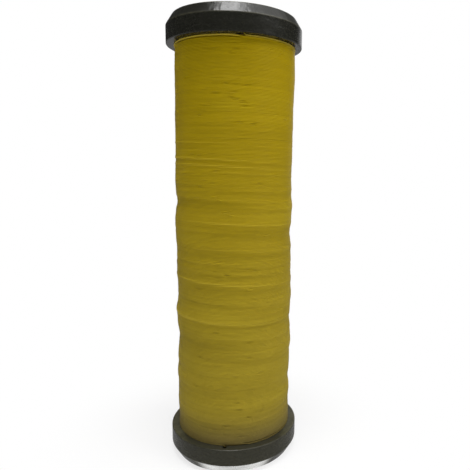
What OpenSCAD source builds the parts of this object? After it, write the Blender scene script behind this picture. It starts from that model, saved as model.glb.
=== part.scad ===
// Reel of racket string: a hollow core tube between two pressed-in end caps, wound full.
// Z runs along the reel, up. The origin is on the surface it stands on, below its centre.

/* [Reel] */
// Diameter of the two end caps
cap_d = 76; // [74:0.5:80]
// Clear length of the winding, from flange to flange
wind_len = 222; // [120:1:240]
// Diameter over the string
wind_d = 67.25; // [67:0.25:69]

/* [Core tube] */
// Outside diameter of the core tube
tube_d = 62; // [60:0.5:62.5]
// Wall of the core tube
tube_wall = 2; // [1.5:0.25:2.5]
// Depth of the seat in each cap that a tube end drops into
seat_depth = 5; // [3:0.5:6]

/* [End caps] */
// Height of the straight band round each cap
band_h = 9.5; // [9:0.5:12]
// Height of the bevel beyond the band
bevel_h = 5.5; // [5:0.5:8]
// How far the bevel draws in
bevel_in = 3.4; // [3:0.1:5.5]
// Width of the flat land that the reel stands on
land_w = 2.2; // [1.6:0.1:2.6]
// Thickness of the web across the cap
web_t = 2.5; // [2:0.25:3]
// Wall of the spigot and of the hub
wall_t = 2.4; // [1.8:0.1:3]
// Length of the spigot inside the tube
spigot_len = 18; // [14:1:24]
// Diameter of the spindle bore
bore_d = 20; // [12:0.5:22]
// Ribs on each side of the web
rib_count = 8; // [4:4:12]
// Thickness of a rib
rib_t = 1.8; // [1.2:0.1:2.4]
// Direction of the string slot in the top cap, from +X
top_slot_deg = 277; // [0:1:360]
// Direction of the string slot in the bottom cap, from +X
bottom_slot_deg = 261; // [0:1:360]

/* [String] */
// Lays of the outer layer, each a band of turns side by side
lays = 24; // [12:1:24]
// Space between neighbouring lays
lay_gap = 0.45; // [0.45:0.05:0.8]
// Thickness of a lay at its crown, where the winding is even
lay_h = 1.2; // [1.1:0.05:1.3]
// Share of the usual bulges and hollows of the winding
unevenness = 1; // [0:0.1:1]

/* [Hidden] */
$fn = 96;

cap_r = cap_d / 2;
tube_r = tube_d / 2;
tube_bore_r = tube_r - tube_wall;
cap_h = band_h + bevel_h;
bottom_flange_z = cap_h;
top_flange_z = cap_h + wind_len;

// Fits and small rounds
seat_clear = 0.1;
spigot_clear = 0.25;
crush_bite = 0.05;
crush_rib_r = 0.8;
crush_ribs = 16;
edge_round = 0.6;
root_round = 1.5;
draft = 0.4;
bore_break = 0.5;

// Levels and radii in a cap, from the flange's inner face outwards
web_top = seat_depth + web_t;
bore_r = bore_d / 2;
hub_r = bore_r + wall_t;
hub_top = cap_h - 2.5;
hub_bottom = -9;
spigot_r = tube_bore_r - spigot_clear;
spigot_in_r = spigot_r - wall_t;
lead_in = 2.5;
land_out_r = cap_r - bevel_in;
land_in_r = land_out_r - land_w;
recess_r = land_in_r - draft;
rib_rise = hub_top - 1 - web_top;
finger_slots = 4;
finger_slot_w = 4;
string_slot_w = 2.4;
string_slot_depth = 2.4;
string_slot_out_r = wind_d / 2 + 1;

// The string's inner layers, and the path of the outer layer over them
LAY_RINGS = 24;
LAY_SIDES = 6;
wind_r = wind_d / 2;
end_clear = 0.3;
layer_clear = 0.05;
chord_dip = wind_r * (1 - cos(180 / LAY_RINGS));
lay_span = wind_len - 2 * end_clear;
lay_end_w = 1.4;
lay_pitch = (lay_span - 2 * lay_end_w - lay_gap) / (lays - 1);
lay_top_z = top_flange_z - end_clear;
lay_bottom_z = bottom_flange_z + end_clear;
lay_floor_r = wind_r - lay_h;
inner_r = lay_floor_r - chord_dip;
lay_least_h = 0.5;
lay_last = lays * LAY_RINGS;

// One lay's section, flat below and crowned above: [share of its width, share of its thickness]
LAY_SECTION = [[0, 0], [1, 0], [1, 0.7], [0.78, 1], [0.22, 1], [0, 0.7]];

// Where the turns bunch to one side: [height above the floor, shift towards +X, half height]
LEANS = [
    [226, 0.5, 20], [164, -0.35, 9], [150, 0.6, 3.5], [135, -0.75, 7], [97, 0.5, 6.5],
    [84, -0.5, 4], [69, 0.8, 5], [46, -0.6, 4], [30, -0.3, 5]
];

// Bands that stand proud all round or lie low: [height above the floor, rise, half height]
BANDS = [
    [220, 0.35, 16], [172, 0.3, 3], [154, -0.3, 2.5], [142, 0.5, 4], [128, 0.3, 3], [108, 0.4, 4],
    [88, 0.55, 3], [79, 0.3, 2], [72, -0.4, 2], [64, 0.3, 3], [48, 0.3, 3], [39, 0.25, 3]
];

// How much lower the bands lie on the right of the reel
band_slope = 1.4;

function unit(v) = v / norm(v);
function total(v) = v * [for (x = v) 1];

// Points of a round of radius r that replaces the corner b between a and c
function rounded(a, b, c, r, steps = 4) =
    let (
        u = unit(a - b),
        w = unit(c - b),
        half = acos(u * w) / 2,
        centre = b + unit(u + w) * r / sin(half),
        from = b + u * r / tan(half) - centre,
        to = b + w * r / tan(half) - centre,
        start = atan2(from.y, from.x),
        turn = (atan2(to.y, to.x) - start + 540) % 360 - 180
    )
    [for (k = [0:steps]) centre + r * [cos(start + turn * k / steps), sin(start + turn * k / steps)]];

// Half section of a cap: [radius, height above the flange's inner face]
function cap_section() =
    let (
        flange_edge = [cap_r, 0],
        band_edge = [cap_r, band_h],
        land_edge = [land_out_r, cap_h],
        land_inner = [land_in_r, cap_h],
        recess_root = [recess_r, web_top],
        hub_root = [hub_r + draft / 2, web_top]
    )
    concat(
        [[tube_r + seat_clear, 0]],
        rounded([tube_r, 0], flange_edge, band_edge, edge_round),
        rounded(flange_edge, band_edge, land_edge, edge_round),
        rounded(band_edge, land_edge, land_inner, edge_round),
        rounded(land_edge, land_inner, recess_root, edge_round),
        rounded(land_inner, recess_root, hub_root, root_round),
        rounded(recess_root, hub_root, [hub_r, hub_top], root_round),
        rounded(hub_root, [hub_r, hub_top], [bore_r, hub_top], edge_round),
        [
            [bore_r + bore_break, hub_top],
            [bore_r, hub_top - bore_break],
            [bore_r, hub_bottom + bore_break],
            [bore_r + bore_break, hub_bottom],
            [hub_r, hub_bottom],
            [hub_r, seat_depth],
            [spigot_in_r, seat_depth],
            [spigot_in_r, -spigot_len],
            [spigot_r - 1, -spigot_len],
            [spigot_r, lead_in - spigot_len],
            [spigot_r, seat_depth],
            [tube_r + seat_clear, seat_depth]
        ]
    );

// A flat upright plate along +X, from its outline in [radius, height]
module plate(outline, thickness) {
    rotate([90, 0, 0])
        linear_extrude(thickness, center = true)
            polygon(outline);
}

module round_about(count) {
    for (k = [0:count - 1])
        rotate([0, 0, (k + 0.5) * 360 / count])
            children();
}

module outer_ribs() {
    round_about(rib_count)
        plate([
            [hub_r - 0.5, web_top - 0.5],
            [recess_r + 1, web_top - 0.5],
            [recess_r + 1, web_top + rib_rise * 0.55],
            [hub_r + 4, web_top + rib_rise],
            [hub_r - 0.5, web_top + rib_rise]
        ], rib_t);
}

module inner_ribs() {
    round_about(rib_count)
        plate([
            [hub_r - 0.5, seat_depth + 0.5],
            [spigot_in_r + 0.5, seat_depth + 0.5],
            [spigot_in_r + 0.5, -1],
            [hub_r + 3, hub_bottom + 2],
            [hub_r - 0.5, hub_bottom + 2]
        ], rib_t);
}

// Ribs that the tube's bore squeezes as the spigot goes in. They root in the web
module crush_ribs() {
    round_about(crush_ribs)
        translate([tube_bore_r + crush_bite - crush_rib_r, 0, lead_in + 0.5 - spigot_len])
            cylinder(r = crush_rib_r, h = spigot_len + seat_depth - lead_in, $fn = 24);
}

// A slot that splits the spigot into fingers, with a round end
module finger_slot() {
    rotate([90, 0, 90])
        linear_extrude(spigot_r + 2) {
            translate([-finger_slot_w / 2, -spigot_len - 1])
                square([finger_slot_w, spigot_len - 4]);
            translate([0, -5])
                circle(d = finger_slot_w);
        }
}

// Slot in the flange's inner face that holds the string's end
module string_slot() {
    translate([0, 0, -1])
        linear_extrude(string_slot_depth + 1) {
            translate([tube_r - 1, -string_slot_w / 2])
                square([string_slot_out_r - tube_r + 1, string_slot_w]);
            translate([string_slot_out_r, 0])
                circle(d = string_slot_w);
        }
}

// One end cap, with its flange's inner face at z = 0 and its outer face above
module end_cap(slot_deg) {
    difference() {
        union() {
            rotate_extrude($fn = 180)
                polygon(cap_section());
            outer_ribs();
            inner_ribs();
            crush_ribs();
        }
        for (k = [0:finger_slots - 1])
            rotate([0, 0, k * 360 / finger_slots])
                translate([hub_r + 6, 0, 0])
                    finger_slot();
        rotate([0, 0, slot_deg])
            string_slot();
    }
}

module core_tube() {
    color("tan")
        translate([0, 0, bottom_flange_z - seat_depth])
            rotate_extrude($fn = 180)
                polygon([
                    [tube_bore_r + bore_break, 0],
                    [tube_r, 0],
                    [tube_r, wind_len + 2 * seat_depth],
                    [tube_bore_r + bore_break, wind_len + 2 * seat_depth],
                    [tube_bore_r, wind_len + 2 * seat_depth - bore_break],
                    [tube_bore_r, bore_break]
                ]);
}

module top_cap() {
    color([0.12, 0.12, 0.11])
        translate([0, 0, top_flange_z])
            end_cap(top_slot_deg);
}

module bottom_cap() {
    color([0.12, 0.12, 0.11])
        translate([0, 0, bottom_flange_z])
            mirror([0, 0, 1])
                end_cap(bottom_slot_deg);
}

// The layers below the outer one, as one plain sleeve
module inner_winding() {
    color([0.50, 0.42, 0.07])
        translate([0, 0, bottom_flange_z + end_clear])
            difference() {
                cylinder(r = inner_r - layer_clear, h = lay_span, $fn = 180);
                translate([0, 0, -1])
                    cylinder(r = tube_r + layer_clear, h = lay_span + 2, $fn = 180);
            }
}

// The outer layer winds down from the top flange as it goes round. Its first and last loops fill up to
// the flanges, so they start and end narrow, and step round their own ends
function lay_deg(i) = top_slot_deg + 360 * i / LAY_RINGS;
function lay_step(rings) = min(max((rings - 1) / 2, 0), 1);
function lay_low_z(i) =
    let (past = i - (lay_last - LAY_RINGS))
    past <= 0
        ? lay_top_z - lay_end_w - lay_pitch * i / LAY_RINGS
        : lay_bottom_z + (lay_end_w + lay_gap) * (1 - lay_step(past));
function lay_high_z(i) = lay_top_z + lay_bottom_z - lay_low_z(lay_last - i);

// How far a form that is centred at a height reaches out at a level, as a share of its height
function share_at(level, form) = exp(-pow((level - form[0]) / form[2], 2));

// How far the winding stands out at a place, past its even surface
function lay_rise(deg, z) =
    let (level = z + band_slope * cos(deg))
    total([for (lean = LEANS) lean[1] * share_at(level, lean)]) * cos(deg) +
    total([for (band = BANDS) band[1] * share_at(level, band)]);

// The way out from the reel at a ring. At the two ends it is square to the last straight step
function lay_out_deg(i) = lay_deg(i) + (i == 0 ? 180 / LAY_RINGS : i == lay_last ? -180 / LAY_RINGS : 0);

function lay_point(i, s) =
    let (
        low = lay_low_z(i),
        z = low + (lay_high_z(i) - low) * LAY_SECTION[s].x,
        thickness = max(lay_least_h, lay_h + unevenness * lay_rise(lay_deg(i), z)),
        foot = lay_floor_r * [cos(lay_deg(i)), sin(lay_deg(i))],
        crown = thickness * LAY_SECTION[s].y * [cos(lay_out_deg(i)), sin(lay_out_deg(i))]
    )
    [foot.x + crown.x, foot.y + crown.y, z];

LAY_POINTS = [for (i = [0:lay_last]) for (s = [0:LAY_SIDES - 1]) lay_point(i, s)];

// Least distance between a point of one lay and the points of the next lay beside it
lay_least_gap = min([
    for (i = [0:lay_last - LAY_RINGS - 1])
        for (k = [i + LAY_RINGS - 1:i + LAY_RINGS + 1])
            for (s = [0:LAY_SIDES - 1])
                for (t = [0:LAY_SIDES - 1])
                    if (k <= lay_last)
                        norm(LAY_POINTS[i * LAY_SIDES + s] - LAY_POINTS[k * LAY_SIDES + t])
]);
echo(least_gap_between_lays_mm = lay_least_gap);

function lay_side_faces() = [
    for (i = [0:lay_last - 1])
        for (s = [0:LAY_SIDES - 1])
            let (
                a = i * LAY_SIDES + s,
                b = i * LAY_SIDES + (s + 1) % LAY_SIDES,
                c = a + LAY_SIDES,
                d = b + LAY_SIDES
            )
            each [[a, b, d], [a, d, c]]
];

function lay_end_faces() = [
    for (s = [1:LAY_SIDES - 2])
        each [
            [0, s + 1, s],
            [lay_last * LAY_SIDES, lay_last * LAY_SIDES + s, lay_last * LAY_SIDES + s + 1]
        ]
];

module outer_winding() {
    color([0.57, 0.48, 0.08])
        polyhedron(LAY_POINTS, concat(lay_side_faces(), lay_end_faces()), convexity = 10);
}

core_tube();
top_cap();
bottom_cap();
inner_winding();
outer_winding();
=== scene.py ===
"""Looks of a reel of racket string: its wound string, its moulded end caps and its board core."""
import math

import bmesh
import bpy
import numpy as np
from mathutils import Matrix, Vector


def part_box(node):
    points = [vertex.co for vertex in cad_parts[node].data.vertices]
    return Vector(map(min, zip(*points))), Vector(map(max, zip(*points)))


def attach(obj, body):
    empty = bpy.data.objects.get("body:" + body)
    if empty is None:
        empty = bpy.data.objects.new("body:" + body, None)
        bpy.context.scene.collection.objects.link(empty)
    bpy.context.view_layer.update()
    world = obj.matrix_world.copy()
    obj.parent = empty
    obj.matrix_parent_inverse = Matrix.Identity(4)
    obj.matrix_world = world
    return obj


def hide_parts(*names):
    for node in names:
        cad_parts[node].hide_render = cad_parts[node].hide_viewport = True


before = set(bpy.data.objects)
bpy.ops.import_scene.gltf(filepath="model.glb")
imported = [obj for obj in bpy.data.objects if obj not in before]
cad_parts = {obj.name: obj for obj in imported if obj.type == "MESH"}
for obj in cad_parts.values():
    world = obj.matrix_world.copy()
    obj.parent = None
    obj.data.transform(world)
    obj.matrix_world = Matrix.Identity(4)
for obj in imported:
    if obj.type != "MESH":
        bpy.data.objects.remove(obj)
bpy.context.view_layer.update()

bl_info = {
    "name": "String Reel",
    "version": (1, 0, 0),
    "blender": (4, 5, 0),
    "location": "View3D > Sidebar > Reel",
    "description": "Winds and dresses a reel of racket string",
    "category": "Object",
}

MM = 0.001
TURN = 2 * math.pi

# The inner winding's solid stops this far short of the flanges, between which the string is wound
SLEEVE_CLEAR = 0.3 * MM
SLEEVE_LOW, SLEEVE_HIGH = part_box("inner_winding")
FLANGE_LOW = SLEEVE_LOW.z - SLEEVE_CLEAR
FLANGE_HIGH = SLEEVE_HIGH.z + SLEEVE_CLEAR

# The top cap's outer edge and outer face
CAP_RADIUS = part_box("top_cap")[1].x
REEL_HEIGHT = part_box("top_cap")[1].z

# String slots in the two flanges, in degrees round the reel
TOP_SLOT_DEG = 277
BOTTOM_SLOT_DEG = 261

# Seeds of the random draws
OUTER_SEED = 7
UNDER_SEED = 11
SWELL_SEED = 41
HOP_SEED = 23
CROSSING_SEED = 5

# Rings in one turn of the tubes, and sides round them
OUTER_STEPS, OUTER_SIDES = 240, 6
UNDER_STEPS, UNDER_SIDES = 72, 4

# The outer layer is split into this many lengths
OUTER_LENGTHS = 5

# The layer below, in gauges: how much deeper it lies, and how thick its flattened turns are
UNDER_DEPTH = 0.55
UNDER_THICKNESS = 1.1

# From a flange to the middle of the turn that lies against it, in gauges
FLANGE_ROOM = 0.55

# Share of a turn in which the first and last turns step aside
STEP_ASIDE = 0.02

# How the first turn comes out of its slot and stands proud: turns from the start, gauges outwards
COMING_OUT = ((0, -1.2), (0.006, -0.6), (0.012, 0.65), (1, 0.45), (1.6, -0.05), (3, 0))

# How the last turn dives into its slot: turns from the slot, gauges outwards
GOING_IN = ((-0.01, 0.1), (0.005, -0.4))

# Wander of single turns, in and out and then up and down: how far in mm, and over how many turns
WANDER_OUT = ((0.028, 1.1), (0.015, 2.3))
WANDER_UP = (0.036, 1.2)

# Random swells in bands: how far in mm, spacing up the reel in mm, and sectors round it
RANDOM_SWELLS = ((0.035, 6.0, 3), (0.018, 1.6, 5))

# Strength of a band round the reel: its mean, and how far it rises and falls from that
BAND_MEAN = 0.72
BAND_SWING = 0.28

# A band that falls off above within this many mm is one loose strand. Its strength is raised to this
# power, so it shows on one side of the reel only
LOOSE_STRAND = 1
LOOSE_POWER = 3

# How far over and under a place, in mm, its neighbours decide whether it stands proud and takes
# a painted highlight
CREST_REACH = 1.4

# Where the winding leans to one side: height, shift towards +X and half width, in mm
SWELLS = (
    (226, 0.50, 20),
    (164, -0.35, 9),
    (150, 0.60, 3.5),
    (135, -0.75, 7),
    (97, 0.50, 6.5),
    (84, -0.50, 4),
    (69, 0.80, 5),
    (46, -0.60, 4),
    (30, -0.30, 5),
)

# Bands that stand proud or lie low: height, rise, fall-off above and below in mm, and the side
# of the reel in degrees where each is strongest
BANDS = (
    (220, 0.35, 14, 16, 270),
    (222.4, 0.18, 5, 4, 240),
    (207, -0.13, 3, 4, 300),
    (195.8, 0.18, 4, 2, 260),
    (182.3, 0.23, 0.6, 0.5, 190),
    (174, 0.29, 0.6, 0.5, 180),
    (172.5, -0.18, 1.0, 0.8, 240),
    (170.5, 0.20, 0.6, 0.5, 225),
    (167.4, 0.15, 0.6, 0.4, 320),
    (160.1, 0.22, 3, 2, 300),
    (152.8, 0.16, 1.4, 0.8, 240),
    (147.5, -0.24, 1.6, 1.4, 220),
    (140.4, 0.22, 0.6, 0.5, 300),
    (139.4, 0.38, 6.0, 1.7, 300),
    (133.6, -0.20, 1.2, 1.4, 260),
    (126.2, 0.30, 3.5, 1.4, 260),
    (118.0, 0.24, 2.5, 1.0, 310),
    (113.1, 0.22, 3.0, 1.0, 250),
    (107.2, 0.22, 0.6, 0.5, 262),
    (106.0, 0.36, 5.0, 1.4, 265),
    (96.5, 0.26, 3.5, 1.2, 250),
    (85.6, 0.52, 3.6, 1.4, 255),
    (77.0, 0.28, 3.0, 1.5, 290),
    (70.5, -0.20, 1.4, 1.2, 290),
    (63, -0.22, 1.6, 1.4, 270),
    (56.5, 0.17, 3.0, 1.4, 230),
    (49, 0.14, 2.0, 1.2, 300),
    (42.7, -0.20, 1.8, 1.4, 300),
    (37.1, 0.14, 3.0, 1.6, 260),
    (27.6, 0.08, 3.0, 1.8, 290),
)

# Turns on each side that a hop parts, the share of its push that each passes on to the next, and
# rings on each side of its middle that it reaches
HOP_TURNS = 5
HOP_SPRING = 0.62
HOP_RINGS = 9

# Ranges in mm of the placed hops and of the stray ones: half the length, the push and the sink
HOP_RANGES = ((1.2, 2.0), (0.20, 0.30), (0.18, 0.32))
STRAY_HOP_RANGES = ((0.9, 1.8), (0.06, 0.18), (0.0, 0.18))

# How near the flanges stray hops and stray crossings come
HOP_MARGIN = 6 * MM
CROSSING_MARGIN = 8 * MM

# Places where a turn hops aside and leaves a short gap: degrees round the reel and height in mm
HOPS = (
    (252, 229.5), (271, 229.5), (267, 227.5), (304, 231.5), (315, 230.5), (262, 213), (280, 212),
    (253, 208), (269, 209), (267, 206), (271, 205), (277, 204), (278, 202), (237, 197), (274, 193.5),
    (286, 192.5), (253, 168.5), (237, 160), (293, 162), (282, 116.5), (289, 115.5), (263, 113.5),
    (263, 112.5), (252, 80.5), (284, 75.5), (235, 65.5), (284, 66.5), (295, 56.5), (271, 55.5),
    (232, 48.5), (273, 40.5), (274, 36.5), (283, 31.5), (263, 27.5), (277, 20.5),
)

# Strands that cross over their neighbours: degrees, height, rise and run in mm
CROSSINGS = (
    (236, 176.6, 2.6, 9), (229, 177.4, -1.3, 6), (252, 155.1, 1.6, 7), (256, 153.4, -1.8, 6),
    (262, 147.4, 2.0, 11), (266, 145.5, -1.0, 6), (302, 134.2, 1.4, 7), (307, 133.2, -1.0, 5),
    (298, 130.8, 0.9, 6), (284, 104.8, 1.2, 7), (281, 105.6, -0.9, 5), (300, 98.9, 1.6, 6),
    (303, 97.1, -0.8, 5), (254, 119.3, 1.2, 5),
)

# Ranges of the stray crossings in mm, and of how far each kind stands out in gauges
STRAY_RISE = (-1.8, 1.8)
STRAY_RUN = (5, 10)
CROSSING_LIFT = (0.95, 1.25)
STRAY_LIFT = (0.85, 1.15)

# Single strands: their radius and how deep a crossing starts, in gauges, the rings along a crossing,
# its sides, and the power of its hump, which is round at 1 and flat near 0
STRAND_RADIUS = 0.52
CROSSING_SINK = 0.55
CROSSING_STEPS = 14
CROSSING_SIDES = 6
CROSSING_HUMP = 0.6

# The string's two ends: gauges out from the winding, degrees from the slot, gauges up from the flange
TOP_END = (
    (-1.6, 0, 2.0),
    (0.2, 0, 1.9),
    (1.0, 0.6, 1.0),
    (0.9, 2.2, -0.2),
    (0.4, 5.0, -0.7),
    (-0.3, 9.0, -0.8),
)
BOTTOM_END = (
    (-0.4, -9.0, 1.0),
    (0.0, -5.0, 0.8),
    (0.0, -2.0, 0.3),
    (0.1, -0.6, -0.3),
    (-0.1, 0, -1.2),
    (-1.6, 0, -2.0),
)

# Grains of the finishes: noise cells per metre along X, Y and Z
STRING_BANDS = (5, 5, 420)
STRING_TURNS = (22, 22, 1400)
STRING_PATCHES = (12, 12, 60)
STRING_FIBRES = (1500, 1500, 4200)
CAP_RUBS = (260, 260, 500)
CAP_SCRATCHES = (90, 90, 3000)
CAP_WAVES = (150, 150, 320)
CAP_WRINKLES = (330, 330, 120)
CAP_GRAIN = 2600.0
BOARD_FIBRES = (400, 400, 1200)
BOARD_MOTTLE = 60.0
FLOOR_MOTTLE = 9.0

# How much of each other colour the string takes: where its coating is scuffed, as a painted
# highlight on its first turn and on loose strands, as painted shade and floor reflection over its
# lower half, and as painted shade at the lower flange
SCUFFED_SHARE = 0.4
FIRST_TURN_HIGHLIGHT_SHARE = 0.15
CREST_HIGHLIGHT_SHARE = 0.03
LOW_DIMMING_SHARE = 0.25
FLANGE_SHADE_SHARE = 0.84

# Heights between which the painted shade and floor reflection of the lower half thin out, and how
# far up from the lower flange the painted shade reaches and how fast it thins out
DIMMING_LOW, DIMMING_HIGH = 20 * MM, 230 * MM
FLANGE_SHADE_REACH = 33 * MM
FLANGE_SHADE_POWER = 2.4

# A place that stands this far out from its neighbours is on top of a loose strand, and takes the
# full painted highlight
LOOSE_CREST = 0.3 * MM

# Each cap with its least share of the pale colour, which is dust and, on the bottom cap, also
# painted light for the bright floor that it reflects, and its specular level
CAP_FINISHES = (("top_cap", 0.0, 0.38), ("bottom_cap", 0.20, 0.3))

# From a cap's edge, the wear and its painted highlight are full up to the first distance and gone
# past the second
WEAR_AND_HIGHLIGHT_FULL, WEAR_AND_HIGHLIGHT_GONE = 0.15 * MM, 0.7 * MM

# Half width of the floor, and how far it lies below the reel
FLOOR_HALF = 3.0
FLOOR_DROP = 0.05 * MM

# Strengths of what reflections see: the floor, the glare at the reel's foot and the dim room
FLOOR_DIM = 0.4
FOOT_GLARE = 6.0
ROOM_DIM = 0.05

# Where the mirrored room is bright: behind the reel and this much to its right, and high on the
# right, at these shares of X and Z
BEHIND_RIGHT = 0.35
HIGH_RIGHT_X, HIGH_RIGHT_Z = 0.6, 0.8

# Strength of the world's own light
WORLD_LIGHT = 0.28

# Lamps: place, height on the reel's axis that each faces, width and depth in metres, power in watts
LAMPS = {
    "softbox": ((0.24, -0.55, 1.15), REEL_HEIGHT / 2, 1.1, 0.9, 4.25),
    "right_panel": ((1.0, -0.45, 1.05), REEL_HEIGHT / 2, 0.7, 0.5, 7.2),
    "left_panel": ((-0.34, -0.26, 0.05), 0.04, 0.3, 0.2, 0.16),
    "top_strip": ((-0.05, -0.17, 1.0), REEL_HEIGHT, 0.34, 0.22, 4.2),
}

WHITE = (1.0, 1.0, 1.0, 1.0)


# ---------------------------------------------------------------- settings


class StringSettings(bpy.types.PropertyGroup):
    """Sizes and colours of the string"""

    gauge: bpy.props.FloatProperty(
        name="Gauge", description="Diameter of the string", default=0.7 * MM, min=0.5 * MM,
        max=1.4 * MM, unit="LENGTH", precision=5)
    thickness: bpy.props.FloatProperty(
        name="Thickness", description="Thickness as wound, with the turns pressed into each other",
        default=1.02 * MM, min=0.7 * MM, max=1.4 * MM, unit="LENGTH", precision=5)
    turns: bpy.props.IntProperty(
        name="Turns", description="Turns in the outer layer", default=318, min=100, max=400)
    radius: bpy.props.FloatProperty(
        name="Radius", description="From the reel's axis to the middle of the outer layer's string",
        default=33.15 * MM, min=32 * MM, max=35 * MM, unit="LENGTH", precision=5)
    lean: bpy.props.FloatProperty(
        name="Lean", description="How much lower the bands lie on the right side of the reel",
        default=1.7 * MM, min=0, max=4 * MM, unit="LENGTH", precision=5)
    unevenness: bpy.props.FloatProperty(
        name="Unevenness", description="Share of the usual wander of each turn", default=1.0,
        min=0, max=3, subtype="FACTOR")
    stray_hops: bpy.props.IntProperty(
        name="Stray hops", description="Short gaps scattered over the reel", default=120, min=0,
        max=400)
    stray_crossings: bpy.props.IntProperty(
        name="Stray crossings", description="Crossing strands scattered over the reel", default=26,
        min=0, max=100)
    colour: bpy.props.FloatVectorProperty(
        name="Colour", description="Colour of the string", default=(0.360, 0.254, 0.001), min=0, max=1,
        subtype="COLOR")
    worn_colour: bpy.props.FloatVectorProperty(
        name="Worn colour", description="Colour where the coating is scuffed",
        default=(0.39, 0.290, 0.005), min=0, max=1, subtype="COLOR")
    # Painted highlight: the first turn and the crests of loose strands are painted towards this colour
    painted_highlight_colour: bpy.props.FloatVectorProperty(
        name="Rubbed colour", description="Colour of the first turn, which rubs on the upper flange",
        default=(0.62, 0.56, 0.22), min=0, max=1, subtype="COLOR")
    # Painted shade and floor reflection: the lower half is dulled towards this colour
    low_dimming_colour: bpy.props.FloatVectorProperty(
        name="Dusty colour", description="Colour towards which the lower half is dulled by dust",
        default=(0.205, 0.205, 0.075), min=0, max=1, subtype="COLOR")
    # Painted shade: the string darkens towards this colour at the lower flange
    flange_shade_colour: bpy.props.FloatVectorProperty(
        name="Soiled colour", description="Colour where dirt has gathered at the lower flange",
        default=(0.128, 0.100, 0.04), min=0, max=1, subtype="COLOR")


class CapSettings(bpy.types.PropertyGroup):
    """Sizes and colours of the end caps"""

    colour: bpy.props.FloatVectorProperty(
        name="Plastic", description="Colour of the caps' plastic", default=(0.014, 0.014, 0.010),
        min=0, max=1, subtype="COLOR")
    # The pale colour of scuffed edges and their painted highlight, of dust, of the painted light at the
    # reel's sides and of the bottom cap's painted light
    pale_colour: bpy.props.FloatVectorProperty(
        name="Scuffs", description="Colour of scuffed edges", default=(0.105, 0.10, 0.06), min=0, max=1,
        subtype="COLOR")
    band: bpy.props.FloatProperty(
        name="Band", description="Height of the straight band round each cap", default=9.5 * MM,
        min=5 * MM, max=14 * MM, unit="LENGTH", precision=4)
    bevel_in: bpy.props.FloatProperty(
        name="Bevel", description="How far the bevel draws in", default=3.4 * MM, min=2 * MM,
        max=8 * MM, unit="LENGTH", precision=4)


class CoreSettings(bpy.types.PropertyGroup):
    """Colour and winding of the core's board"""

    colour: bpy.props.FloatVectorProperty(
        name="Board", description="Colour of the core's board", default=(0.42, 0.31, 0.20), min=0,
        max=1, subtype="COLOR")
    ply_rise: bpy.props.FloatProperty(
        name="Ply rise", description="Height that a ply climbs in one turn", default=95 * MM,
        min=40 * MM, max=200 * MM, unit="LENGTH", precision=4)


class StageSettings(bpy.types.PropertyGroup):
    """The camera's place and the light"""

    camera_distance: bpy.props.FloatProperty(
        name="Distance", description="From the reel's axis to the camera", default=294.6 * MM,
        min=0.1, max=2, unit="LENGTH", precision=4)
    camera_height: bpy.props.FloatProperty(
        name="Height", description="Height of the camera above the floor", default=172.6 * MM,
        min=0, max=2, unit="LENGTH", precision=4)
    focal_length: bpy.props.FloatProperty(
        name="Focal length", description="Focal length on a 36 mm sensor, in mm", default=37.88,
        min=10, max=200)
    pitch: bpy.props.FloatProperty(
        name="Pitch", description="How far the camera looks down", default=math.radians(8.10),
        subtype="ANGLE")
    yaw: bpy.props.FloatProperty(
        name="Yaw", description="How far the camera looks to the right", default=math.radians(6.92),
        subtype="ANGLE")
    roll: bpy.props.FloatProperty(
        name="Roll", description="How far the camera leans", default=math.radians(1.04),
        subtype="ANGLE")
    shift: bpy.props.FloatProperty(
        name="Shift", description="Sideways shift of the lens that frames the reel", default=-0.1256,
        min=-1, max=1)
    light: bpy.props.FloatProperty(
        name="Light", description="Share of the usual light", default=1.0, min=0, max=4,
        subtype="FACTOR")


# ---------------------------------------------------------------- shader maths


class Field:
    """An output of a shader node. Arithmetic on it adds Math nodes."""

    def __init__(self, shading, output):
        self.shading = shading
        self.output = output

    def __add__(self, other):
        return self.shading.maths("ADD", self, other)

    def __sub__(self, other):
        return self.shading.maths("SUBTRACT", self, other)

    def __rsub__(self, other):
        return self.shading.maths("SUBTRACT", other, self)

    def __mul__(self, other):
        return self.shading.maths("MULTIPLY", self, other)

    def __truediv__(self, other):
        return self.shading.maths("DIVIDE", self, other)

    def __pow__(self, other):
        return self.shading.maths("POWER", self, other)

    __radd__ = __add__
    __rmul__ = __mul__


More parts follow.
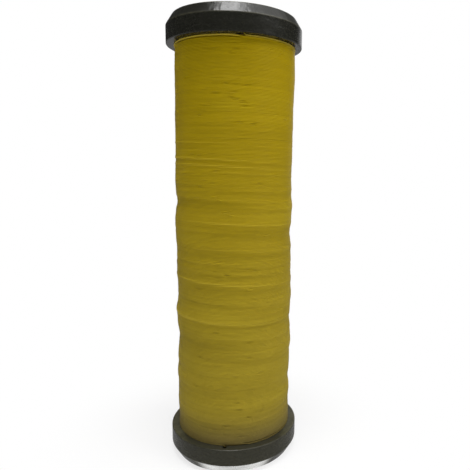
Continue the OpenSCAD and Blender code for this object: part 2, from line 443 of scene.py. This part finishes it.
class Shading:
    """Builds the nodes of one material or world."""

    def __init__(self, tree):
        self.tree = tree
        self.tree.nodes.clear()

    def node(self, kind, settings=None, inputs=None, output=0):
        """Adds a node: its settings first, then its sockets' values or links. Returns one output."""
        made = self.tree.nodes.new(kind)
        for name, value in (settings or {}).items():
            setattr(made, name, value)
        for name, value in (inputs or {}).items():
            if isinstance(value, Field):
                self.tree.links.new(value.output, made.inputs[name])
            elif value is not None:
                made.inputs[name].default_value = value
        return Field(self, made.outputs[output]) if len(made.outputs) else made

    def maths(self, operation, *values):
        """A Math node on numbers and fields."""
        return self.node("ShaderNodeMath", {"operation": operation}, dict(enumerate(values)))

    def place(self):
        """Object coordinates of the point that is shaded, and its three parts."""
        where = self.node("ShaderNodeTexCoord", output="Object")
        return where, *self.split(where)

    def split(self, vector):
        """The X, Y and Z of a vector."""
        parts = self.node("ShaderNodeSeparateXYZ", inputs={"Vector": vector})
        return tuple(Field(self, parts.output.node.outputs[axis]) for axis in "XYZ")

    def rays(self, *kinds):
        """Masks that are 1 for rays of the named kinds, such as Is Camera Ray."""
        path = self.node("ShaderNodeLightPath")
        return tuple(Field(self, path.output.node.outputs[kind]) for kind in kinds)

    def attribute(self, name):
        """A number that is stored on the piece's points."""
        return self.node("ShaderNodeAttribute", {"attribute_name": name}, output="Fac")

    def noise(self, where, scale, detail=2.0, roughness=0.5):
        """Smooth noise, with the same number of cells per metre each way."""
        return self.node("ShaderNodeTexNoise", inputs={
            "Vector": where, "Scale": scale, "Detail": detail, "Roughness": roughness})

    def grain(self, where, cells, detail=2.0, roughness=0.5):
        """Noise with its own number of cells per metre along each axis."""
        stretched = self.node("ShaderNodeVectorMath", {"operation": "MULTIPLY"}, {0: where, 1: cells})
        return self.noise(stretched, 1.0, detail, roughness)

    def step(self, value, low, high, to_low=0.0, to_high=1.0):
        """Runs smoothly from to_low to to_high as value goes from low to high."""
        return self.node("ShaderNodeMapRange", {"interpolation_type": "SMOOTHSTEP"}, {
            "Value": value, "From Min": low, "From Max": high, "To Min": to_low, "To Max": to_high})

    def mix(self, share, first, second):
        """Blends two colours."""
        colours = [c if isinstance(c, Field) else (*c[:3], 1.0) for c in (first, second)]
        return self.node("ShaderNodeMix", {"data_type": "RGBA"}, {
            "Factor": share, 6: colours[0], 7: colours[1]}, output=2)

    def bump(self, height, distance, strength=1.0):
        """A normal from a height."""
        return self.node("ShaderNodeBump", inputs={
            "Height": height, "Distance": distance, "Strength": strength})

    def surface(self, **inputs):
        """A Principled shader on the output, from sockets named with _ for a space."""
        shader = self.node("ShaderNodeBsdfPrincipled", inputs={
            name.replace("_", " "): value for name, value in inputs.items()})
        self.node("ShaderNodeOutputMaterial", inputs={"Surface": shader})


def new_material(name):
    """An empty material, and the Shading that builds its nodes."""
    material = bpy.data.materials.new(name)
    material.use_nodes = True
    return material, Shading(material.node_tree)


def dress(thing, material):
    """Gives a piece its one material."""
    thing.data.materials.clear()
    thing.data.materials.append(material)


# ---------------------------------------------------------------- materials


def string_material(settings):
    """Coated string: turns of slightly different tone at random, with painted light where they stand
    proud and painted shade where they lie low, a painted highlight on the first turn and on loose
    strands, painted shade and floor reflection that dull the lower half, and painted shade at the
    lower flange.
    """
    material, s = new_material("coated_string")
    where, _x, _y, z = s.place()
    proud = s.attribute("proud")
    crest = s.attribute("crest")
    bands = s.grain(where, STRING_BANDS)
    turns = s.grain(where, STRING_TURNS, 1.0)
    patches = s.grain(where, STRING_PATCHES)
    fibres = s.grain(where, STRING_FIBRES)

    # The string's own colour takes on the others one after another
    scuffed = s.step(turns * 0.3 + patches * 0.7, 0.50, 0.72, 0.0, SCUFFED_SHARE)
    # Painted highlight: the first turn, which stands proud under the upper flange, is painted paler
    first_turn_highlight = s.step(z, FLANGE_HIGH - 1.2 * MM, FLANGE_HIGH - 0.6 * MM, 0.0, FIRST_TURN_HIGHLIGHT_SHARE)
    # Painted highlight on the crests of loose strands
    crest_highlight = s.step(crest, 0.0, LOOSE_CREST, 0.0, CREST_HIGHLIGHT_SHARE)
    # Painted shade and floor reflection: the lower half is dulled and greyed
    painted_low_dimming = s.step(z, DIMMING_LOW, DIMMING_HIGH, LOW_DIMMING_SHARE, 0.0)
    # Painted shade: the string darkens towards the lower flange, which keeps light from it
    flange_shade_falloff = s.step(z, FLANGE_LOW - 1 * MM, FLANGE_LOW + FLANGE_SHADE_REACH, 1.0, 0.0)
    flange_shade = flange_shade_falloff ** FLANGE_SHADE_POWER * FLANGE_SHADE_SHARE
    colour = tuple(settings.colour)
    for share, other in (
            (scuffed, settings.worn_colour),
            (s.maths("MAXIMUM", first_turn_highlight, crest_highlight), settings.painted_highlight_colour),
            (painted_low_dimming, settings.low_dimming_colour),
            (flange_shade, settings.flange_shade_colour)):
        colour = s.mix(share, colour, tuple(other))

    # It varies in tone at random. Painted light and shade: it is lighter where a turn stands proud and
    # darker where one lies low, and a painted highlight lies on the crests of loose strands
    tone = s.step(bands * 0.45 + turns * 0.25 + patches * 0.3, 0.36, 0.64, 0.93, 1.06)
    tone = tone * s.step(proud, -0.7 * MM, 0.8 * MM, 0.95, 1.06)
    tone = tone * s.step(crest, 0.05 * MM, LOOSE_CREST, 1.0, 1.17)
    s.surface(
        Base_Color=s.node("ShaderNodeVectorMath", {"operation": "SCALE"}, {0: colour, "Scale": tone}),
        Roughness=s.step(fibres, 0.3, 0.7, 0.38, 0.56),
        IOR=1.5,
        Specular_IOR_Level=0.06,
        Normal=s.bump(fibres, 0.03 * MM, 0.5),
    )
    return material


def cap_material(settings, name, dust_and_painted_light, specular):
    """Black moulded plastic, a little wavy, scuffed along its edges with a painted highlight there,
    and dusty where it faces up, with painted light at the reel's sides and on the bottom cap.
    """
    material, s = new_material(name)
    where, x, y, z = s.place()
    radius = (x * x + y * y) ** 0.5
    mid = REEL_HEIGHT / 2
    level = s.maths("ABSOLUTE", z - mid)
    flange = FLANGE_HIGH - mid
    # Edges that are worn and painted with a highlight, each with its share
    worn_and_highlit_edges = (
        (CAP_RADIUS, flange, 0.05),
        (CAP_RADIUS, flange + settings.band, 0.5),
        (CAP_RADIUS - settings.bevel_in, mid, 1.0),
    )
    edges = 0.0
    for edge_radius, edge_level, wear_and_highlight in worn_and_highlit_edges:
        off = ((radius - edge_radius) ** 2.0 + (level - edge_level) ** 2.0) ** 0.5
        edges = s.maths("MAXIMUM", edges, s.step(off, WEAR_AND_HIGHLIGHT_FULL, WEAR_AND_HIGHLIGHT_GONE, wear_and_highlight, 0.0))
    rubs = s.grain(where, CAP_RUBS, 4.0, 0.65)
    scratches = s.grain(where, CAP_SCRATCHES, 3.0, 0.6)
    waves = s.grain(where, CAP_WAVES)
    wrinkles = s.grain(where, CAP_WRINKLES)
    grain = s.noise(where, CAP_GRAIN)
    _x, _y, facing_up = s.split(s.node("ShaderNodeNewGeometry", output="Normal"))

    # The bevel faces half up. Dust lies on what faces up. Painted light makes it paler at the reel's
    # left and right sides, where the winding shades it less
    bevel = s.step(facing_up, 0.3, 0.45) * s.step(facing_up, 0.7, 0.85, 1.0, 0.0)
    dust = s.step(facing_up, 0.5, 0.95) * s.step(rubs, 0.35, 0.75, 0.25, 0.6)
    # Scuffs along the edges, painted pale also as a highlight along them
    scuffs_and_edge_highlight = edges * s.step(rubs, 0.38, 0.58, 0.25, 0.8) * s.step(facing_up, -0.7, 0.1, 0.1, 1.0)
    aside = s.step(s.maths("ABSOLUTE", x), 24 * MM, 36 * MM, 0.5, 2.4)
    # The least share is dust, and on the bottom cap also painted light for the bright floor it reflects
    pale = s.maths("MAXIMUM", s.maths("MAXIMUM", scuffs_and_edge_highlight, dust * aside), dust_and_painted_light)
    shine = s.step(rubs, 0.3, 0.7, 0.25, 0.29) + scuffs_and_edge_highlight * 0.3 + dust * 0.1 + bevel * 0.05
    relief = waves * 0.3 * MM + wrinkles * bevel * 0.5 * MM + grain * 0.003 * MM
    s.surface(
        Base_Color=s.mix(pale, tuple(settings.colour), tuple(settings.pale_colour)),
        Roughness=shine + s.step(scratches, 0.62, 0.75, 0.0, 0.05),
        IOR=1.5,
        Specular_IOR_Level=specular,
        Normal=s.bump(relief, 1.0, 0.6),
    )
    return material


def board_material(settings):
    """Spiral-wound board: a seam that climbs round the tube, over a fibrous ply."""
    material, s = new_material("spiral_board")
    where, x, y, z = s.place()
    round_share = s.maths("ARCTAN2", y, x) / TURN
    # The 10 keeps the share above 0 where FRACT is taken
    ply = s.maths("FRACT", round_share + z / settings.ply_rise + 10.0)
    seam = s.step(s.maths("ABSOLUTE", ply - 0.5), 0.0, 0.008, 1.0, 0.0)
    fibres = s.grain(where, BOARD_FIBRES, 4.0, 0.6)
    mottle = s.noise(where, BOARD_MOTTLE, 3.0)
    light = tuple(settings.colour)
    dark = tuple(0.55 * c for c in light)
    seam_dark = tuple(0.25 * c for c in light)
    colour = s.mix(s.step(fibres * 0.6 + mottle * 0.4, 0.3, 0.7), dark, light)
    s.surface(
        Base_Color=s.mix(seam * 0.8, colour, seam_dark),
        Roughness=s.step(fibres, 0.3, 0.7, 0.78, 0.95),
        IOR=1.45,
        Normal=s.bump(fibres * 0.06 * MM - seam * 0.15 * MM, 1.0, 0.8),
    )
    return material


def floor_material():
    """A plain pale floor, faintly mottled. It is seen white away from the reel's shadow, and it is
    dim in reflections but for a glare at the reel's foot.
    """
    material, s = new_material("pale_floor")
    where, x, y, _z = s.place()
    mottle = s.noise(where, FLOOR_MOTTLE, 3.0)
    away = (x * x + y * y) ** 0.5
    seen, mirrored = s.rays("Is Camera Ray", "Is Glossy Ray")
    diffuse = s.node("ShaderNodeBsdfDiffuse", inputs={
        "Color": s.mix(s.step(mottle, 0.3, 0.7), (0.93, 0.93, 0.93), (0.96, 0.96, 0.96))})
    white, dim, glare = (
        s.node("ShaderNodeEmission", inputs={"Color": WHITE, "Strength": strength})
        for strength in (1.0, FLOOR_DIM, FOOT_GLARE))
    clear = s.step(away, 40 * MM, 130 * MM, 0.75, 1.0)
    foot = s.step(away, 39 * MM, 43 * MM, 1.0, 0.0) * s.step(y, -34 * MM, -28 * MM, 1.0, 0.0)
    plain = s.node("ShaderNodeMixShader", inputs={0: seen * clear, 1: diffuse, 2: white})
    reflected = s.node("ShaderNodeMixShader", inputs={0: foot, 1: dim, 2: glare})
    blend = s.node("ShaderNodeMixShader", inputs={0: mirrored, 1: plain, 2: reflected})
    s.node("ShaderNodeOutputMaterial", inputs={"Surface": blend})
    return material


# ---------------------------------------------------------------- how the string lies


def wander(rng, places, spacing):
    """Smooth random swell of about unit size along a line."""
    at = places / spacing
    low = math.floor(at.min())
    knots = rng.normal(size=math.ceil(at.max()) - low + 2)
    whole = np.floor(at).astype(int) - low
    part = at - np.floor(at)
    part = part * part * (3 - 2 * part)
    return knots[whole] * (1 - part) + knots[whole + 1] * part


def banded(rng, levels, angles, spacing, sectors):
    """Smooth random swell in bands that change slowly round the reel."""
    up = levels / spacing
    around = (angles / TURN % 1.0) * sectors
    low = math.floor(up.min())
    knots = rng.normal(size=(math.ceil(up.max()) - low + 2, sectors))
    row = np.floor(up).astype(int) - low
    column = np.floor(around).astype(int) % sectors
    following = (column + 1) % sectors
    v = up - np.floor(up)
    u = around - np.floor(around)
    v, u = v * v * (3 - 2 * v), u * u * (3 - 2 * u)
    upper = knots[row, column] * (1 - u) + knots[row, following] * u
    lower = knots[row + 1, column] * (1 - u) + knots[row + 1, following] * u
    return upper * (1 - v) + lower * v


def band_rise(level, angles):
    """How far the swells and bands stand in or out, in mm, at a height in mm and an angle."""
    rise = np.zeros_like(level)
    for height, shift, half in SWELLS:
        rise += shift * np.exp(-((level - height) / half) ** 2) * np.cos(angles)
    for height, out, above, below, side in BANDS:
        off = level - height
        fall = np.where(off > 0, off / above, off / below)
        share = BAND_MEAN + BAND_SWING * np.cos(angles - math.radians(side))
        power = LOOSE_POWER if above < LOOSE_STRAND else 1
        rise += out * share ** power * np.exp(-fall ** 2)
    return rise


def leaning_level(heights, angles, settings):
    """Height in mm in the leaning stack of bands."""
    return (heights + settings.lean * np.cos(angles)) / MM


def lay_rise(heights, angles, settings):
    """How far the winding stands in or out at each place."""
    level = leaning_level(heights, angles, settings)
    rng = np.random.default_rng(SWELL_SEED)
    rise = band_rise(level, angles)
    for swell, spacing, sectors in RANDOM_SWELLS:
        rise += swell * banded(rng, level, angles, spacing, sectors)
    return rise * MM


def crest_rise(heights, angles, settings):
    """How far each place stands out from the turns a little over and under it."""
    level = leaning_level(heights, angles, settings)
    beside = band_rise(level + CREST_REACH, angles) + band_rise(level - CREST_REACH, angles)
    return (band_rise(level, angles) - beside / 2) * MM


class Lay:
    """The path of one layer's string: for each ring its angle, radius and height.

    The first and the last turn lie level against the flanges, and step aside where they meet their
    neighbours. Between them each turn drops one pitch. A hand of 1 winds anticlockwise on the way
    down, and one of -1 winds clockwise.
    """

    def __init__(self, settings, steps, seed, hand=1, depth=0.0):
        last = settings.turns
        room = FLANGE_ROOM * settings.gauge
        self.steps = steps
        self.hand = hand
        self.start = math.radians(TOP_SLOT_DEG)
        self.top = FLANGE_HIGH - room
        self.pitch = (FLANGE_HIGH - FLANGE_LOW - 2 * room) / last
        self.turns = np.arange(last * steps + 1) / steps
        self.angles = self.start + hand * TURN * self.turns
        self.heights = self.top - self.pitch * np.interp(
            self.turns, (0, 1 - STEP_ASIDE, 1, last - 1, last - 1 + STEP_ASIDE, last),
            (0, 0, 1, last - 1, last, last))
        self.proud = lay_rise(self.heights, self.angles, settings)
        self.crest = crest_rise(self.heights, self.angles, settings)
        self.radii = settings.radius - depth + self.proud
        rng = np.random.default_rng(seed)
        for far, spacing in WANDER_OUT:
            self.radii += settings.unevenness * far * MM * wander(rng, self.turns, spacing)
        far, spacing = WANDER_UP
        self.heights += settings.unevenness * far * MM * wander(rng, self.turns, spacing)

    def turn_at(self, angle, height):
        """The turn that passes nearest to a place, as a number of turns from the start."""
        part = self.hand * (angle - self.start) / TURN % 1.0
        return round((self.top - height) / self.pitch - part) + part

    def hop(self, angle, height, half, spread, sink):
        """Parts the turns over and under one turn for a short run, and lets that turn sink in."""
        middle = self.turn_at(angle, height)
        for beside in range(-HOP_TURNS, HOP_TURNS + 1):
            centre = (middle + beside) * self.steps
            low = max(int(centre) - HOP_RINGS, 0)
            high = min(int(centre) + HOP_RINGS + 1, len(self.turns))
            near = np.arange(low, high)
            along = (near - centre) / self.steps * TURN * self.radii[near]
            share = np.exp(-(along / half) ** 2)
            if beside == 0:
                self.radii[near] -= sink * share
            else:
                push = spread * HOP_SPRING ** (abs(beside) - 1)
                self.heights[near] -= math.copysign(push, beside) * share

    def seat_ends(self, gauge):
        """The first turn comes out of its slot and stands proud, and the last dives into its own."""
        last = self.turns[-1]
        slot = last - (TOP_SLOT_DEG - BOTTOM_SLOT_DEG) / 360
        going_in = ((last - 1, 0), *((slot + off, out) for off, out in GOING_IN))
        for places in (COMING_OUT, going_in):
            self.radii += gauge * np.interp(self.turns, *zip(*places))


def outer_lay(settings):
    """The outer layer's path, with its hops and its two ends."""
    lay = Lay(settings, OUTER_STEPS, OUTER_SEED)
    rng = np.random.default_rng(HOP_SEED)
    for degrees, height in HOPS:
        lay.hop(math.radians(degrees), height * MM,
                *(rng.uniform(*limits) * MM for limits in HOP_RANGES))
    lowest, highest = FLANGE_LOW + HOP_MARGIN, FLANGE_HIGH - HOP_MARGIN
    for _hop in range(settings.stray_hops):
        lay.hop(rng.uniform(0, TURN), rng.uniform(lowest, highest),
                *(rng.uniform(*limits) * MM for limits in STRAY_HOP_RANGES))
    lay.seat_ends(settings.gauge)
    return lay


# ---------------------------------------------------------------- making pieces


def add_piece(name, mesh):
    """A piece at the origin, in the scene."""
    piece = bpy.data.objects.new(name, mesh)
    bpy.context.scene.collection.objects.link(piece)
    return piece


def section_matrix(radius, height, angle=0.0):
    """Stands a flat circle on edge, square to the string's way round the reel."""
    return (Matrix.Rotation(angle, 4, "Z") @ Matrix.Translation((radius, 0, height))
            @ Matrix.Rotation(math.pi / 2, 4, "X"))


def evaluated_mesh(piece):
    """The mesh of a piece as its modifiers or its bevel leave it."""
    return bpy.data.meshes.new_from_object(piece.evaluated_get(bpy.context.evaluated_depsgraph_get()))


def wound_tube(name, lay, first_turn, turns, sides, thickness):
    """Winds one tube for some turns of a lay, closes its two ends, and stores on its points how far
    they stand proud.
    """
    bm = bmesh.new()
    bmesh.ops.create_circle(
        bm, radius=thickness / 2, segments=sides, matrix=section_matrix(lay.radii[0], 0))
    profile = bpy.data.meshes.new(name)
    bm.to_mesh(profile)
    bm.free()
    piece = add_piece(name, profile)
    screw = piece.modifiers.new("turns", "SCREW")
    screw.angle = TURN * lay.hand
    screw.screw_offset = -lay.pitch
    screw.iterations = turns
    screw.steps = screw.render_steps = lay.steps
    screw.use_merge_vertices = False
    wound = evaluated_mesh(piece)
    piece.modifiers.clear()
    piece.data = wound
    bpy.data.meshes.remove(profile)
    wound.name = name

    points = np.empty(len(wound.vertices) * 3, np.float32)
    wound.vertices.foreach_get("co", points)
    points = points.reshape(-1, sides, 3)
    across = points[0, :, 0] - lay.radii[0]
    upwards = points[0, :, 2]
    rings = slice(first_turn * lay.steps, (first_turn + turns) * lay.steps + 1)
    radii = lay.radii[rings, None] + across
    points[..., 0] = radii * np.cos(lay.angles[rings, None])
    points[..., 1] = radii * np.sin(lay.angles[rings, None])
    points[..., 2] = lay.heights[rings, None] + upwards
    wound.vertices.foreach_set("co", points.ravel())
    for kind, values in (("proud", lay.proud), ("crest", lay.crest)):
        stored = wound.attributes.new(kind, "FLOAT", "POINT")
        stored.data.foreach_set("value", np.repeat(values[rings], sides).astype(np.float32))
    close_ends(wound)
    return piece


def close_ends(mesh):
    """Caps the open ends with a hard edge, and turns every face outwards."""
    bm = bmesh.new()
    bm.from_mesh(mesh)
    rims = [edge for edge in bm.edges if edge.is_boundary]
    bmesh.ops.holes_fill(bm, edges=rims, sides=0)
    bmesh.ops.recalc_face_normals(bm, faces=bm.faces[:])
    for face in bm.faces:
        face.smooth = True
    for edge in rims:
        edge.smooth = False
    bm.to_mesh(mesh)
    bm.free()


def strand(bm, angle, height, rise, run, lift, settings):
    """One strand that comes up between the turns, crosses some of them and goes under again."""
    sweep = run / settings.radius
    start = angle - sweep / 2
    ring = bmesh.ops.create_circle(
        bm, radius=STRAND_RADIUS * settings.gauge, segments=CROSSING_SIDES,
        matrix=section_matrix(settings.radius, height - rise / 2, start))
    edges = list({edge for vert in ring["verts"] for edge in vert.link_edges})
    before = set(bm.verts) - set(ring["verts"])
    bmesh.ops.spin(
        bm, geom=ring["verts"] + edges, cent=(0, 0, 0), axis=(0, 0, 1), angle=sweep,
        steps=CROSSING_STEPS, dvec=(0, 0, rise / CROSSING_STEPS), use_merge=False,
        use_duplicate=False)
    verts = [vert for vert in bm.verts if vert not in before]
    places = np.array([vert.co[:] for vert in verts])
    angles = np.arctan2(places[:, 1], places[:, 0])
    along = ((angles - start + math.pi) % TURN - math.pi) / sweep
    middle = height + rise * (along - 0.5)
    hump = np.sin(np.pi * np.clip(along, 0, 1)) ** CROSSING_HUMP
    out = lay_rise(middle, angles, settings) + lift * hump
    out -= CROSSING_SINK * settings.gauge
    for vert, move in zip(verts, out):
        reach = math.hypot(vert.co.x, vert.co.y)
        vert.co.x *= 1 + move / reach
        vert.co.y *= 1 + move / reach


def string_end(name, places, slot, flange, settings):
    """A short end of string along a smooth curve, from places that are given from its slot."""
    curve = bpy.data.curves.new(name, "CURVE")
    curve.dimensions = "3D"
    curve.bevel_depth = STRAND_RADIUS * settings.gauge
    curve.bevel_resolution = 1
    curve.use_fill_caps = True
    curve.resolution_u = 6
    spline = curve.splines.new("NURBS")
    spline.points.add(len(places) - 1)
    spline.order_u = 4
    spline.use_endpoint_u = True
    for point, (out, degrees, up) in zip(spline.points, places):
        radius = settings.radius + out * settings.gauge
        height = flange + up * settings.gauge
        turn = math.radians(slot + degrees)
        point.co = (radius * math.cos(turn), radius * math.sin(turn), height, 1.0)
    line = add_piece(name, curve)
    mesh = evaluated_mesh(line)
    bpy.data.objects.remove(line)
    bpy.data.curves.remove(curve)
    piece = add_piece(name, mesh)
    close_ends(mesh)
    return piece


def finish_string(piece, context, *nodes):
    """Gives a piece of string its finish, sets it under the root body and hides the CAD nodes that it
    stands for.
    """
    material = bpy.data.materials.get("coated_string") or string_material(context.scene.reel_string)
    dress(piece, material)
    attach(piece, "root")
    if nodes:
        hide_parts(*nodes)


# ---------------------------------------------------------------- operators


class REEL_OT_end_caps(bpy.types.Operator):
    """Finish both end caps in scuffed black plastic"""

    bl_idname = "reel.end_caps"
    bl_label = "Finish End Caps"

    def execute(self, context):
        for node, dust_and_painted_light, specular in CAP_FINISHES:
            material = cap_material(context.scene.reel_caps, f"{node}_plastic", dust_and_painted_light, specular)
            dress(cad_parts[node], material)
        return {"FINISHED"}


class REEL_OT_core_tube(bpy.types.Operator):
    """Finish the core tube in spiral-wound board"""

    bl_idname = "reel.core_tube"
    bl_label = "Finish Core Tube"

    def execute(self, context):
        dress(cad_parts["core_tube"], board_material(context.scene.reel_core))
        return {"FINISHED"}


class REEL_OT_under_turns(bpy.types.Operator):
    """Wind the layer below the outer one, which shows through the gaps"""

    bl_idname = "reel.under_turns"
    bl_label = "Wind Under Layer"

    def execute(self, context):
        settings = context.scene.reel_string
        gauge = settings.gauge
        lay = Lay(settings, UNDER_STEPS, UNDER_SEED, hand=-1, depth=UNDER_DEPTH * gauge)
        piece = wound_tube(
            "under_turns", lay, 0, settings.turns, UNDER_SIDES, UNDER_THICKNESS * gauge)
        finish_string(piece, context, "inner_winding")
        return {"FINISHED"}


class REEL_OT_outer_turns(bpy.types.Operator):
    """Wind the outer layer, split into lengths that follow on from each other"""

    bl_idname = "reel.outer_turns"
    bl_label = "Wind Outer Layer"

    def execute(self, context):
        settings = context.scene.reel_string
        lay = outer_lay(settings)
        cuts = [round(settings.turns * k / OUTER_LENGTHS) for k in range(OUTER_LENGTHS + 1)]
        for number, (first, after) in enumerate(zip(cuts, cuts[1:]), start=1):
            piece = wound_tube(
                f"outer_turns_{number}", lay, first, after - first, OUTER_SIDES, settings.thickness)
            finish_string(piece, context, "outer_winding")
        return {"FINISHED"}


class REEL_OT_crossing_strands(bpy.types.Operator):
    """Lay the strands that cross over their neighbours"""

    bl_idname = "reel.crossing_strands"
    bl_label = "Lay Crossing Strands"

    def execute(self, context):
        settings = context.scene.reel_string
        rng = np.random.default_rng(CROSSING_SEED)
        bm = bmesh.new()
        for degrees, height, rise, run in CROSSINGS:
            strand(bm, math.radians(degrees), height * MM, rise * MM, run * MM,
                   rng.uniform(*CROSSING_LIFT) * settings.gauge, settings)
        lowest, highest = FLANGE_LOW + CROSSING_MARGIN, FLANGE_HIGH - CROSSING_MARGIN
        for _strand in range(settings.stray_crossings):
            strand(bm, rng.uniform(0, TURN), rng.uniform(lowest, highest),
                   rng.uniform(*STRAY_RISE) * MM, rng.uniform(*STRAY_RUN) * MM,
                   rng.uniform(*STRAY_LIFT) * settings.gauge, settings)
        mesh = bpy.data.meshes.new("crossing_strands")
        bm.to_mesh(mesh)
        bm.free()
        close_ends(mesh)
        finish_string(add_piece("crossing_strands", mesh), context)
        return {"FINISHED"}


class REEL_OT_string_ends(bpy.types.Operator):
    """Tuck the string's two ends into the flanges' slots"""

    bl_idname = "reel.string_ends"
    bl_label = "Tuck String Ends"

    def execute(self, context):
        settings = context.scene.reel_string
        for name, places, slot, flange in (
                ("top_string_end", TOP_END, TOP_SLOT_DEG, FLANGE_HIGH),
                ("bottom_string_end", BOTTOM_END, BOTTOM_SLOT_DEG, FLANGE_LOW)):
            finish_string(string_end(name, places, slot, flange, settings), context)
        return {"FINISHED"}


def area_lamp(name, place, target, width, depth, power):
    """A soft oblong lamp that faces its target."""
    lamp = bpy.data.lights.new(name, "AREA")
    lamp.shape = "RECTANGLE"
    lamp.size, lamp.size_y = width, depth
    lamp.energy = power
    thing = bpy.data.objects.new(name, lamp)
    thing.location = place
    thing.rotation_euler = (Vector(target) - Vector(place)).to_track_quat("-Z", "Y").to_euler()
    bpy.context.scene.collection.objects.link(thing)


def studio_world(level):
    """White where it is seen. In reflections it is bright behind the reel's right and high on the
    right, and dim behind the camera.
    """
    world = bpy.data.worlds.new("studio")
    world.use_nodes = True
    s = Shading(world.node_tree)
    seen, glossy, through = s.rays("Is Camera Ray", "Is Glossy Ray", "Is Transmission Ray")
    mirrored = s.maths("MAXIMUM", glossy, through)
    x, y, z = s.split(s.node("ShaderNodeTexCoord", output="Generated"))
    behind = s.step(y + x * BEHIND_RIGHT, 0.92, 1.03, ROOM_DIM, 1.0)
    above = s.step(x * HIGH_RIGHT_X + z * HIGH_RIGHT_Z, 0.80, 0.96, 0.0, 1.1)
    reflected = s.maths("MAXIMUM", behind, above)
    strength = s.maths("MAXIMUM", seen, mirrored * reflected + (1 - mirrored) * level)
    background = s.node("ShaderNodeBackground", inputs={"Color": WHITE, "Strength": strength})
    s.node("ShaderNodeOutputWorld", inputs={"Surface": background})
    bpy.context.scene.world = world


class REEL_OT_stage(bpy.types.Operator):
    """Set up the pale floor, the soft lamps and the camera"""

    bl_idname = "reel.stage"
    bl_label = "Set Up Stage"

    def execute(self, context):
        settings = context.scene.reel_stage
        self.floor()
        studio_world(WORLD_LIGHT * settings.light)
        for name, (place, aim, width, depth, power) in LAMPS.items():
            area_lamp(name, place, (0, 0, aim), width, depth, power * settings.light)
        self.camera(context, settings)
        context.scene.view_settings.view_transform = "Standard"
        return {"FINISHED"}

    def floor(self):
        """The floor lies just below the reel, so that their faces don't coincide."""
        bm = bmesh.new()
        bmesh.ops.create_grid(
            bm, x_segments=1, y_segments=1, size=FLOOR_HALF,
            matrix=Matrix.Translation((0, 0, -FLOOR_DROP)))
        mesh = bpy.data.meshes.new("floor")
        bm.to_mesh(mesh)
        bm.free()
        floor = add_piece("floor", mesh)
        floor.data.materials.append(floor_material())

    def camera(self, context, settings):
        """The camera stands in front, and leans, turns and looks down a little."""
        lens = bpy.data.cameras.new("camera")
        lens.sensor_width = 36
        lens.lens = settings.focal_length
        lens.shift_x = settings.shift
        lens.clip_start = 0.01
        camera = bpy.data.objects.new("camera", lens)
        ahead = Matrix.Rotation(-settings.yaw, 3, "Z") @ Vector(
            (0, math.cos(settings.pitch), -math.sin(settings.pitch)))
        right = Matrix.Rotation(-settings.yaw, 3, "Z") @ Vector((1, 0, 0))
        up = right.cross(ahead)
        lean = Matrix.Rotation(-settings.roll, 3, ahead)
        axes = Matrix((lean @ right, lean @ up, -ahead)).transposed()
        camera.rotation_euler = axes.to_euler()
        camera.location = (0, -settings.camera_distance, settings.camera_height)
        context.scene.collection.objects.link(camera)
        context.scene.camera = camera


class REEL_PT_panel(bpy.types.Panel):
    """Lists the reel's settings and its operators"""

    bl_label = "String Reel"
    bl_idname = "REEL_PT_panel"
    bl_space_type = "VIEW_3D"
    bl_region_type = "UI"
    bl_category = "Reel"

    def draw(self, context):
        scene = context.scene
        for settings in (scene.reel_string, scene.reel_caps, scene.reel_core, scene.reel_stage):
            box = self.layout.box()
            for name in settings.bl_rna.properties.keys():
                if name not in {"rna_type", "name"}:
                    box.prop(settings, name)
        for operator in OPERATORS:
            self.layout.operator(operator.bl_idname)


OPERATORS = (
    REEL_OT_end_caps,
    REEL_OT_core_tube,
    REEL_OT_under_turns,
    REEL_OT_outer_turns,
    REEL_OT_crossing_strands,
    REEL_OT_string_ends,
    REEL_OT_stage,
)
SETTINGS = {
    "reel_string": StringSettings,
    "reel_caps": CapSettings,
    "reel_core": CoreSettings,
    "reel_stage": StageSettings,
}


def register():
    for name, group in SETTINGS.items():
        bpy.utils.register_class(group)
        setattr(bpy.types.Scene, name, bpy.props.PointerProperty(type=group))
    for kind in (*OPERATORS, REEL_PT_panel):
        bpy.utils.register_class(kind)


def unregister():
    for kind in (REEL_PT_panel, *reversed(OPERATORS)):
        bpy.utils.unregister_class(kind)
    for name, group in reversed(SETTINGS.items()):
        delattr(bpy.types.Scene, name)
        bpy.utils.unregister_class(group)


def main():
    register()
    bpy.ops.reel.end_caps()
    bpy.ops.reel.core_tube()
    bpy.ops.reel.under_turns()
    bpy.ops.reel.outer_turns()
    bpy.ops.reel.crossing_strands()
    bpy.ops.reel.string_ends()
    bpy.ops.reel.stage()


if __name__ == "__main__":
    main()
